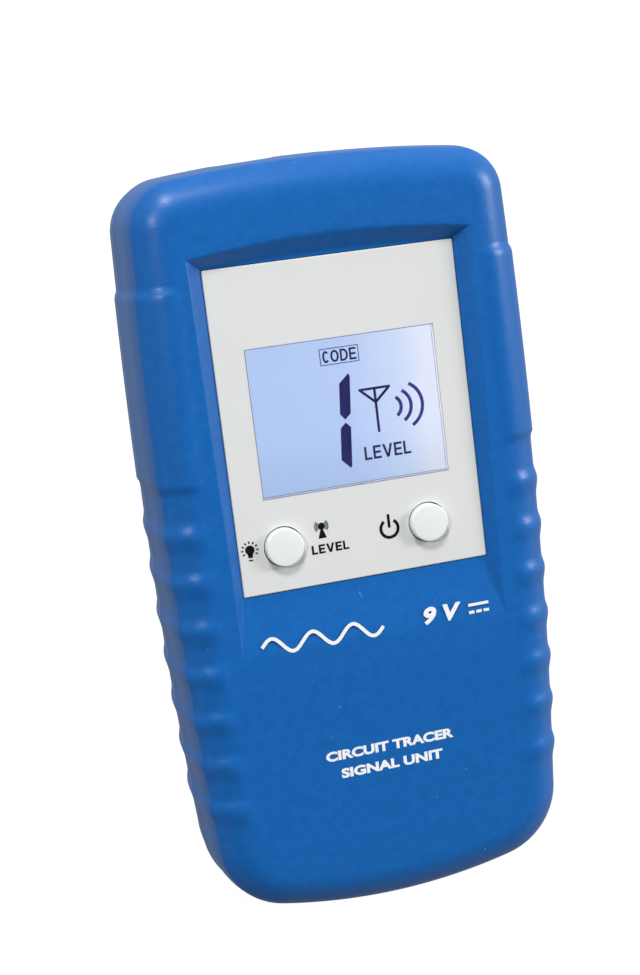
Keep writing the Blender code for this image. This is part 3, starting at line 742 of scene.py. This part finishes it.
def battery_cover():
    door = rear_form("door_form")
    top_y = BAY_END_Y - 0.4
    boolean(door, [block((DOOR_LOW.x, -70, -1), (DOOR_HIGH.x, top_y, DOOR_HIGH.z))], "INTERSECT")
    boolean(door, [block((-4.0, top_y - 2.2, 1.6), (4.0, top_y - 0.1, 3.5))], "UNION")
    boolean(door, [block((-3.9, top_y - 2.0, WALL + GAP), (3.9, DOOR_HIGH.y, 3.4))], "UNION")
    grooves = []
    for k in range(GROOVE_COUNT):
        y = GROOVE_FIRST_Y - GROOVE_PITCH * k
        half = 7.5 - 0.5 * k
        grooves.append(block((-half, y - 0.55, -1), (half, y + 0.55, 0.5), 0.25, 2))
    arrow = bmesh.new()
    points = [(-3.6, -30.0), (3.6, -30.0), (0.0, -34.6)]
    face = arrow.faces.new([arrow.verts.new((x, y, -1)) for x, y in points])
    lifted = bmesh.ops.extrude_face_region(arrow, geom=[face])["geom"]
    for vertex in [g for g in lifted if isinstance(g, bmesh.types.BMVert)]:
        vertex.co.z = 0.45
    bmesh.ops.recalc_face_normals(arrow, faces=arrow.faces)
    grooves.append(object_from(arrow, "arrow"))
    boolean(door, grooves)
    piece(door, "battery_cover", "door", BLUE, ["battery_door"])


# ---------------------------------------------------------------- panel, window and keys
WINDOW_GAP = 0.08
KEY_GAP = 0.22
KEY_ROUND = 0.32                    # radius of a key's rim
FLANGE_Z = 1.1                      # top of a key's flange above its foot


def fascia():
    panel = block(PANEL_LOW, PANEL_HIGH, 0.18, 2)
    holes = [block((WINDOW_LOW.x - WINDOW_GAP, WINDOW_LOW.y - WINDOW_GAP, 20),
                   (WINDOW_HIGH.x + WINDOW_GAP, WINDOW_HIGH.y + WINDOW_GAP, 40))]
    for low, high in BUTTONS.values():
        middle = (low + high) / 2
        holes.append(rod((middle.x, middle.y, 20), KEY_R + KEY_GAP, 20, sides=72))
    boolean(panel, holes)
    piece(panel, "printed_fascia", "case", WHITE, ["fascia_panel"], smooth=15)
    window = block(WINDOW_LOW, WINDOW_HIGH, 0.1, 2)
    piece(window, "clear_window", "case", CLEAR, ["display_window"], smooth=15)


def keys():
    for name, (low, high) in BUTTONS.items():
        middle = (low + high) / 2
        flange_r = (high.x - low.x) / 2
        top = high.z - low.z
        dome = [(0, top), (KEY_R * 0.35, top - 0.012), (KEY_R * 0.65, top - 0.05)]
        skirt = [(KEY_R, FLANGE_Z), (flange_r, FLANGE_Z), (flange_r, 0.0), (0, 0.0)]
        cap = dome + fillet(KEY_R, top - 0.08, KEY_ROUND) + skirt
        made = turned(name + "_key", cap, (middle.x, middle.y, low.z), sides=96)
        piece(made, name + "_key_cap", name + "_key", KEY, [name + "_button"], 50)


# ---------------------------------------------------------------- flat printing
def plate(name, shapes, base, thickness, finish):
    """Thin closed plates from flat outlines. base is a height or a function of y that the print follows."""
    bm = bmesh.new()
    for shape in shapes:
        points = [(x, y, base(y) if callable(base) else base) for x, y in shape]
        face = bm.faces.new([bm.verts.new(p) for p in points])
        lifted = bmesh.ops.extrude_face_region(bm, geom=[face])["geom"]
        for vertex in [g for g in lifted if isinstance(g, bmesh.types.BMVert)]:
            vertex.co.z += thickness
    bmesh.ops.recalc_face_normals(bm, faces=bm.faces)
    made = object_from(bm, name)
    return piece(made, name, "case", finish)


def stroke(points, width):
    """The outline of a line of constant width through points."""
    path = [Vector(p) for p in points]
    left, right = [], []
    for k, at in enumerate(path):
        before = path[max(k - 1, 0)]
        after = path[min(k + 1, len(path) - 1)]
        along = (after - before).normalized()
        across = Vector((-along.y, along.x)) * width / 2
        left.append(tuple(at + across))
        right.append(tuple(at - across))
    return left + right[::-1]


def arc(centre, radius, start, stop, steps=24):
    """Points on an arc; angles in degrees, counter-clockwise from +X."""
    return [(centre[0] + radius * math.cos(math.radians(start + (stop - start) * k / steps)),
             centre[1] + radius * math.sin(math.radians(start + (stop - start) * k / steps)))
            for k in range(steps + 1)]


def disc(centre, radius, steps=36):
    return arc(centre, radius, 0, 360, steps)[:-1]


def oblong(x0, y0, x1, y1):
    return [(x0, y0), (x1, y0), (x1, y1), (x0, y1)]


def frame_strokes(low, high, width):
    """Four strips that outline a rectangle."""
    (x0, y0), (x1, y1) = low, high
    half = width / 2
    return [oblong(x0 - half, y0 - half, x1 + half, y0 + half),
            oblong(x0 - half, y1 - half, x1 + half, y1 + half),
            oblong(x0 - half, y0 + half, x0 + half, y1 - half),
            oblong(x1 - half, y0 + half, x1 + half, y1 - half)]


def lettering(name, text, low, high, base, thickness, finish, weight=0.0, slant=0.0):
    """Text as a thin closed mesh, fitted to the rectangle low..high, on a height or a function of y."""
    curve = bpy.data.curves.new(name, "FONT")
    curve.body = text
    curve.size = 1.0
    curve.offset = weight
    curve.shear = slant
    curve.extrude = 0.5
    curve.resolution_u = 4
    source = bpy.data.objects.new(name, curve)
    bpy.context.scene.collection.objects.link(source)
    bpy.context.view_layer.update()
    mesh = bpy.data.meshes.new_from_object(source.evaluated_get(bpy.context.evaluated_depsgraph_get()))
    bpy.data.objects.remove(source)
    bm = bmesh.new()
    bm.from_mesh(mesh)
    bmesh.ops.remove_doubles(bm, verts=bm.verts, dist=0.0001)
    points = np.array([v.co for v in bm.verts])
    least, most = points.min(0), points.max(0)
    for vertex in bm.verts:
        share = (Vector(vertex.co) - Vector(least))
        x = low[0] + (high[0] - low[0]) * share.x / (most[0] - least[0])
        y = low[1] + (high[1] - low[1]) * share.y / (most[1] - least[1])
        floor = base(y) if callable(base) else base
        vertex.co = (x, y, floor + thickness * share.z / (most[2] - least[2]))
    bmesh.ops.recalc_face_normals(bm, faces=bm.faces)
    made = object_from(bm, name)
    return piece(made, name, "case", finish)


LETTER_WIDTH = {"C": 0.63, "D": 0.69, "E": 0.62, "L": 0.57, "O": 0.73, "V": 0.78}
LETTER_GAP = 0.12


def letter(sign, weight):
    """Closed outlines of one block letter, one unit tall, drawn with strokes of the given weight."""
    wide, half = LETTER_WIDTH[sign], weight / 2
    if sign == "L":
        return [[(0, 0), (wide, 0), (wide, weight), (weight, weight), (weight, 1), (0, 1)]]
    if sign == "E":
        middle = wide * 0.93
        return [[(0, 0), (wide, 0), (wide, weight), (weight, weight), (weight, 0.5 - half),
                 (middle, 0.5 - half), (middle, 0.5 + half), (weight, 0.5 + half), (weight, 1 - weight),
                 (wide, 1 - weight), (wide, 1), (0, 1)]]
    if sign == "V":
        return [[(0, 1), (weight * 1.08, 1), (wide / 2, weight * 1.5), (wide - weight * 1.08, 1), (wide, 1),
                 (wide / 2 + weight * 0.58, 0), (wide / 2 - weight * 0.58, 0)]]

    def curve(middle_x, start, stop):
        return [(middle_x + (wide - middle_x - half) * x, 0.5 + (0.5 - half) * y)
                for x, y in arc((0, 0), 1, start, stop)]

    if sign == "C":
        return [stroke(curve(wide * 0.53, 42, 318), weight)]
    if sign == "O":
        return [stroke(curve(wide / 2, 0, 180), weight), stroke(curve(wide / 2, 180, 360), weight)]
    bow = [(weight, half)] + curve(wide * 0.42, -90, 90) + [(weight, 1 - half)]
    return [stroke(bow, weight), oblong(0, 0, weight, 1)]


def label(name, text, low, high, base, thickness, finish, weight):
    """A word in block letters, fitted to the rectangle low..high."""
    total = sum(LETTER_WIDTH[sign] for sign in text) + LETTER_GAP * (len(text) - 1)
    shapes, cursor = [], 0.0
    for sign in text:
        for shape in letter(sign, weight):
            shapes.append([(low[0] + (high[0] - low[0]) * (cursor + x) / total,
                            low[1] + (high[1] - low[1]) * y) for x, y in shape])
        cursor += LETTER_WIDTH[sign] + LETTER_GAP
    plate(name, shapes, base, thickness, finish)


INK = 0.03                          # thickness of the printing
PANEL_INK_Z = PANEL_HIGH.z + 0.004


def key_symbols():
    z, slot = PANEL_INK_Z, "black_plastic"
    bulb = (-19.65, 1.46)
    shapes = [disc(bulb, 0.80), [(bulb[0] - 0.46, bulb[1] - 0.6), (bulb[0] + 0.46, bulb[1] - 0.6),
                                 (bulb[0] + 0.38, bulb[1] - 1.32), (bulb[0] - 0.38, bulb[1] - 1.32)],
              oblong(bulb[0] - 0.36, bulb[1] - 1.86, bulb[0] + 0.36, bulb[1] - 1.64)]
    plate("backlight_symbol", shapes, z, INK, BLACK_INK)
    rays = []
    for k in range(9):
        a = math.radians(-32 + 30.5 * k)
        ends = [(bulb[0] + r * math.cos(a), bulb[1] + r * math.sin(a)) for r in (1.10, 1.50)]
        rays.append(stroke(ends, 0.24))
    plate("backlight_rays", rays, z, INK, BLACK_INK)

    ball = (-6.99, 3.44)
    foot = [(ball[0] - 0.16, ball[1] - 0.4), (ball[0] - 0.72, ball[1] - 2.05),
            (ball[0] + 0.72, ball[1] - 2.05), (ball[0] + 0.16, ball[1] - 0.4)]
    plate("antenna_symbol", [disc(ball, 0.60), foot], z, INK, BLACK_INK)
    lobes = []
    for start, stop in ((-42, 46), (134, 222)):
        lobes.append(stroke(arc(ball, 0.80, start, stop, 10), 0.26))
        lobes.append(stroke(arc(ball, 1.13, start, stop, 10), 0.26))
    plate("antenna_waves", lobes, z, INK, GREY_INK)
    label("level_key_label", "LEVEL", (-9.12, -1.17), (-2.60, 0.36), z, INK, BLACK_INK, 0.20)

    power = (4.81, 1.08)
    shapes = [stroke(arc(power, 1.53, 124, 416, 48), 0.52),
              stroke([(power[0], power[1] + 2.46), (power[0], power[1] + 0.15)], 0.48)]
    plate("power_symbol", shapes, z, INK, BLACK_INK)


def display_symbols():
    z, thick, slot = LCD_HIGH.z + 0.02, 0.05, "lcd_glass"
    plate("code_frame", frame_strokes((-3.3, 29.98), (3.4, 32.66), 0.13), z, thick, SEGMENT)
    label("code_label", "CODE", (-2.95, 30.30), (3.02, 32.34), z, thick, SEGMENT, 0.165)
    upper = [(-0.55, 26.57), (1.23, 28.12), (1.43, 27.66), (0.86, 21.38), (-0.21, 20.43), (-1.02, 21.44)]
    lower = [(-0.24, 19.94), (0.62, 19.08), (0.02, 12.46), (-0.24, 12.20), (-1.71, 13.73), (-1.20, 19.05)]
    plate("digit_one", [upper, lower], z, thick, SEGMENT)
    mast_x = 5.44
    aerial = [stroke([(2.66, 24.98), (8.24, 24.98)], 0.42),
              stroke([(2.92, 24.90), (mast_x, 22.60)], 0.44),
              stroke([(8.00, 24.90), (mast_x, 22.60)], 0.44),
              stroke([(mast_x, 24.98), (mast_x, 17.48)], 0.44)]
    for k, shape in enumerate(aerial):
        plate(f"aerial_stroke_{k + 1}", [shape], z + 0.002 * k, thick, SEGMENT)
    waves = []
    for x, radius, angle in ((7.91, 1.89, 56), (8.58, 3.00, 58.5), (9.53, 4.08, 61)):
        waves.append(stroke(arc((x, 21.35), radius, -angle, angle, 24), 0.58))
    plate("signal_waves", waves, z, thick, SEGMENT_LIGHT)
    label("level_label", "LEVEL", (2.42, 13.05), (10.66, 15.32), z, thick, SEGMENT, 0.165)
    # Painted shadow line along the window's left, bottom and top edges, where the panel's opening edge casts
    # its shade; it is not printing
    edge, line = 0.07, 0.14
    x0, y0 = WINDOW_LOW.x - edge, WINDOW_LOW.y - edge
    x1, y1 = WINDOW_HIGH.x + edge, WINDOW_HIGH.y + edge
    strips = [oblong(x0 - line, y0 - line, x1, y0), oblong(x0 - line, y0, x0, y1),
              oblong(x0 - line, y1, x1, y1 + line)]
    plate("painted_window_shadow_line", strips, PANEL_INK_Z, INK / 2, PAINTED_WINDOW_SHADOW)


BOLDER = 0.045                      # how far the white letters are thickened


def case_markings():
    """White printing on the lower face: a wave mark, the supply rating and two generic lines."""

    def print_z(y):
        return float(face_height(np.float64(y))) + 0.004

    wave = [(-20.0 + 21.4 * k / 72, -15.2 + 1.35 * math.sin(2 * math.pi * k / 24)) for k in range(73)]
    plate("wave_mark", [stroke(wave, 0.62)], lambda y: print_z(y) + 0.004, INK, WHITE_INK)
    lettering("supply_mark", "9 V", (8.7, -16.5), (15.6, -13.4), print_z, INK, WHITE_INK, BOLDER, 0.2)
    dashes = [stroke([(16.9, -14.4), (20.6, -14.4)], 0.5)]
    dashes += [stroke([(16.9 + 1.35 * k, -15.7), (17.9 + 1.35 * k, -15.7)], 0.5) for k in range(3)]
    plate("direct_current_mark", dashes, print_z, INK, WHITE_INK)
    lettering("caption_upper", "CIRCUIT TRACER", (-11.3, -37.2), (11.8, -35.45), print_z, INK, WHITE_INK,
              BOLDER)
    lettering("caption_lower", "SIGNAL UNIT", (-8.9, -40.55), (9.5, -38.8), print_z, INK, WHITE_INK,
              BOLDER)


# ---------------------------------------------------------------- sockets and fasteners
def sockets():
    for name, finish, slot in (("red", RED, "red_plastic"), ("black", BLACK, "black_plastic")):
        low, high = cad_box(name + "_socket_housing")
        x, foot, mouth = (low.x + high.x) / 2, low.y, high.y
        radius = (high.x - low.x) / 2
        shoulder = mouth - 2.7
        shell = [(1.7, 2.0), (4.25, 2.0), (4.3, 2.1), (4.3, mouth - foot - 0.3), (4.4, mouth - foot - 0.08),
                 (4.6, mouth - foot), (4.9, mouth - foot - 0.05), (5.1, mouth - foot - 0.25),
                 (5.1, shoulder - foot), (radius - 0.3, shoulder - foot), (radius, shoulder - foot - 0.3),
                 (radius, 0.3), (radius - 0.3, 0.0), (1.7, 0.0), (1.7, 2.0)]
        made = turned(name + "_jack", shell, (x, foot, SPLIT_Z), "Y")
        piece(made, name + "_jack_shroud", "case", finish, [name + "_socket_housing"], 30)
        low, high = cad_box(name + "_socket_sleeve")
        tail, lip = low.y, high.y
        base = foot + 2.3
        length = lip - tail
        sleeve = [(0, base + 1.5 - tail), (1.9, base + 1.5 - tail), (2.05, base + 1.7 - tail),
                  (2.05, length - 0.3), (2.3, length), (2.7, length), (2.9, length - 0.2),
                  (2.9, base - tail + 0.2), (2.7, base - tail), (1.3, base - tail), (1.3, 0.3),
                  (1.1, 0), (0, 0)]
        made = turned(name + "_contact", sleeve, (x, tail, SPLIT_Z), "Y")
        piece(made, name + "_jack_contact", "case", BRASS, [name + "_socket_sleeve"], 30)


SCREW_TURNS = 10
SLOT_HALF = 0.32                    # cross slot of a screw: half its width, and its reach from the middle
SLOT_REACH = 1.4


def screws():
    for k in range(4):
        low, high = cad_box(f"case_screw_{k + 1}")
        x, y = (low.x + high.x) / 2, (low.y + high.y) / 2
        head_z, head_r, length = low.z, (high.x - low.x) / 2, high.z - low.z
        thread = []
        for turn in range(SCREW_TURNS):
            z = length - 1.4 - (length - 4.0) * turn / SCREW_TURNS
            thread += [(0.95, z), (1.2, z - 0.35), (0.95, z - 0.7)]
        head = [(1.2, 1.9), (1.2, 1.8), (head_r - 0.1, 1.8), (head_r, 1.65), (head_r, 1.0),
                (head_r * 0.93, 0.5), (head_r * 0.7, 0.12), (head_r * 0.35, 0.0), (0, 0)]
        profile = [(0, length), (0.7, length)] + thread + head
        made = turned("screw", profile, (x, y, head_z), sides=32)
        drive, across = (block((x - wide, y - long, head_z - 1), (x + wide, y + long, head_z + 0.9))
                         for wide, long in ((SLOT_HALF, SLOT_REACH), (SLOT_REACH, SLOT_HALF)))
        boolean(drive, [across], "UNION")
        boolean(made, [drive])
        piece(made, f"case_screw_threaded_{k + 1}", "case", STEEL, [f"case_screw_{k + 1}"], 30)


def battery():
    low, high = cad_box("battery_block")
    can = block(low, high, 1.6, 5)
    made, nodes, links, shader = shader_of("battery_wrap")
    place = nodes.new("ShaderNodeTexCoord")
    split = nodes.new("ShaderNodeSeparateXYZ")
    links.new(place.outputs["Object"], split.inputs["Vector"])
    along = share_along(nodes, links, split.outputs["Y"], low.y, high.y)
    bands = ramp_node(nodes, links, along, [
        (0.0, (0.30, 0.31, 0.33)), (0.035, (0.015, 0.015, 0.018)), (0.66, (0.015, 0.015, 0.018)),
        (0.665, (0.55, 0.30, 0.10)), (0.965, (0.52, 0.28, 0.09)), (0.97, (0.30, 0.31, 0.33))])
    bands.color_ramp.interpolation = "CONSTANT"
    links.new(bands.outputs["Color"], shader.inputs["Base Color"])
    uneven_roughness(nodes, links, shader, noise_node(nodes, links, 400.0, 3.0), 0.22, 0.42)
    shader.inputs["Metallic"].default_value = 0.4
    piece(can, "battery_can", "case", made, ["battery_block"])


CARRIED = {
    "lcd_glass": LIT, "lcd_frame": KEY, "backlight_panel": LIGHT, "backlight_led": YELLOW,
    "zebra_strip": FOAM, "level_switch_body": STEEL, "power_switch_body": STEEL,
    "level_switch_plunger": BLACK, "power_switch_plunger": BLACK, "main_board": BOARD,
    "transformer_core": FERRITE,
    "transformer_coil": COPPER, "coupling_capacitor": YELLOW, "filter_capacitor_1": BLACK,
    "filter_capacitor_2": BLACK, "control_chip": BLACK, "timing_crystal": STEEL, "overload_disc": YELLOW,
    "battery_positive_stud": STEEL, "battery_negative_stud": STEEL, "battery_snap": BLACK,
    "battery_foam": FOAM, "battery_lead_red": RED, "battery_lead_black": BLACK,
}
CARRIED.update({f"board_screw_{k}": STEEL for k in range(1, 5)})


def carried_over():
    """CAD nodes whose shape is right keep it and get a finished material."""
    for name, finish in CARRIED.items():
        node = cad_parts[name]
        node.data.materials.clear()
        node.data.materials.append(finish)


# ---------------------------------------------------------------- stage, light and camera
SKY = ((0.0, 0.46), (0.002, 0.92), (0.12, 0.84), (0.30, 0.40), (0.38, 0.24), (0.62, 0.24), (0.86, 0.18),
       (1.0, 0.12))                 # height above the horizon and brightness; a pale backdrop low down
SKY_LEAN = 0.40                     # the sky is brighter by this share toward +X and toward +Y
LAMPS = (("key", (-220, 1220, 840), 380, 0.36),         # place, width and share of the light on the face
         ("side", (1200, 330, 600), 420, 0.24),
         ("fill", (-750, 430, 900), 80, 0.22))
FLOOR_R = 40000
FLOOR_GLOW = 0.92                   # the floor lights itself, so that it stays an even white


def stage():
    bm = bmesh.new()
    bmesh.ops.create_circle(bm, cap_ends=True, segments=96, radius=FLOOR_R)
    bmesh.ops.translate(bm, verts=bm.verts, vec=(0, 0, -0.02))
    floor = object_from(bm, "floor")
    finish = surface("pale_floor", ((0.17, 0.17, 0.17), (0.19, 0.19, 0.19)), (0.7, 0.8), 8.0, 300.0, 0.0,
                     Emission_Strength=FLOOR_GLOW, Specular_IOR_Level=0.2)
    finish.node_tree.nodes["Principled BSDF"].inputs["Emission Color"].default_value = (1.0, 1.0, 1.0, 1.0)
    floor.data.materials.append(finish)
    floor.visible_diffuse = False
    floor.visible_glossy = False

    world = bpy.data.worlds.new("studio")
    bpy.context.scene.world = world
    world.use_nodes = True
    nodes, links = world.node_tree.nodes, world.node_tree.links
    place = nodes.new("ShaderNodeTexCoord")
    split = nodes.new("ShaderNodeSeparateXYZ")
    links.new(place.outputs["Generated"], split.inputs["Vector"])
    tent = ramp_node(nodes, links, split.outputs["Z"], [(place, (value,) * 3) for place, value in SKY])
    toward_y = multiply_add(nodes, links, split.outputs["Y"], SKY_LEAN)
    toward_y.inputs[2].default_value = 1.0
    toward_x = multiply_add(nodes, links, split.outputs["X"], SKY_LEAN)
    links.new(toward_y.outputs["Value"], toward_x.inputs[2])
    sky = nodes["Background"]
    links.new(tent.outputs["Color"], sky.inputs["Color"])
    links.new(toward_x.outputs["Value"], sky.inputs["Strength"])

    for name, at, size, share in LAMPS:
        at = Vector(at) * MM
        light = bpy.data.lights.new(name, "AREA")
        light.shape = "DISK"
        light.size = size * MM
        light.energy = share * math.pi ** 2 * at.length ** 3 / at.z
        lamp = bpy.data.objects.new(name, light)
        lamp.location = at
        lamp.rotation_euler = (-at).to_track_quat("-Z", "Y").to_euler()
        bpy.context.scene.collection.objects.link(lamp)


CAMERA_AT = (-74.97, 55.11, 302.03)
CAMERA_TURN = (0.14338, 0.25610, 0.14241)     # rotation vector from the row frame to the camera's
CAMERA_LENS = 62.66


def camera():
    data = bpy.data.cameras.new("camera")
    data.sensor_width = 36.0
    data.lens = CAMERA_LENS
    data.clip_start = 0.01
    data.clip_end = 20.0
    made = bpy.data.objects.new("camera", data)
    turn = Vector(CAMERA_TURN)
    made.rotation_mode = "QUATERNION"
    made.rotation_quaternion = Matrix.Rotation(-turn.length, 3, turn).to_quaternion()
    made.location = Vector(CAMERA_AT) * MM
    bpy.context.scene.collection.objects.link(made)
    bpy.context.scene.camera = made


front_shell()
rear_shell()
battery_cover()
fascia()
keys()
key_symbols()
display_symbols()
case_markings()
sockets()
screws()
battery()
carried_over()
stage()
camera()
bpy.context.scene.view_settings.view_transform = "Standard"
